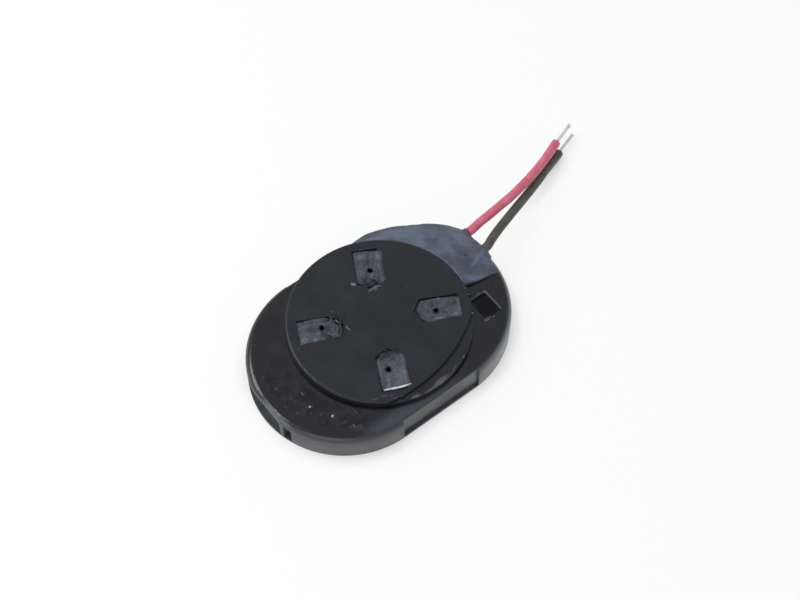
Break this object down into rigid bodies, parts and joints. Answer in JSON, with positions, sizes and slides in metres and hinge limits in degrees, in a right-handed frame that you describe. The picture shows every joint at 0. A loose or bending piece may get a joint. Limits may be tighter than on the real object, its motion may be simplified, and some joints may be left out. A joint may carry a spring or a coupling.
{
  "type": "phone loudspeaker",
  "caption": "Small oval moving-coil loudspeaker lying on its sound face, with a round windowed back cap and short soldered leads.",
  "frame": {"origin": "on the surface that the front rim rests on, under the middle of the frame's full oval", "axes": "+X along the oval towards the two leads, +Y across it, +Z from the sound face to the back"},
  "size_m": [0.033, 0.0139, 0.0029],
  "materials": {
    "frame_plastic": "moulded, semi-gloss, scuffed",
    "cap_plastic": "satin",
    "cover_steel": "pressed, plain",
    "mesh_cloth": "woven",
    "ring_brass": "stamped",
    "surround_film": "thin formed film",
    "dome_foil": "satin foil",
    "coil_wire": "enamelled copper wire",
    "motor_steel": "nickel plated",
    "magnet_metal": "nickel plated",
    "vent_cloth": "fine damping cloth with dried adhesive",
    "board_laminate": "glass laminate",
    "pad_copper": "bare copper",
    "solder": "bright solder",
    "sealant": "semi-gloss cured sealant",
    "red_insulation": "smooth",
    "black_insulation": "smooth",
    "tinned_core": "tinned strand"
  },
  "bodies": {
    "housing": {"frame": "frame_plastic", "front_cover": "cover_steel", "dust_mesh": "mesh_cloth", "diaphragm_ring": "ring_brass", "surround": "surround_film", "coil_leadout_red": "coil_wire", "coil_leadout_black": "coil_wire", "top_plate": "motor_steel", "magnet": "magnet_metal", "yoke": "motor_steel", "back_cap": "cap_plastic", "vent_cloth_1": "vent_cloth", "vent_cloth_2": "vent_cloth", "vent_cloth_3": "vent_cloth", "vent_cloth_4": "vent_cloth", "terminal_board": "board_laminate", "copper_pads": "pad_copper", "solder_joint_red": "solder", "solder_joint_black": "solder", "sealant": "sealant", "red_insulation": "red_insulation", "red_core": "tinned_core", "black_insulation": "black_insulation", "black_core": "tinned_core"},
    "moving_coil": {"voice_coil": "coil_wire", "dome": "dome_foil"}
  },
  "joints": [
    {"name": "coil_stroke", "type": "slide", "parent": "housing", "child": "moving_coil", "axis": [0, 0, 1], "range_m": [-0.0002, 0.0002], "stiffness_N_per_m": 1000, "deforming": ["surround", "coil_leadout_red", "coil_leadout_black"]}
  ]
}
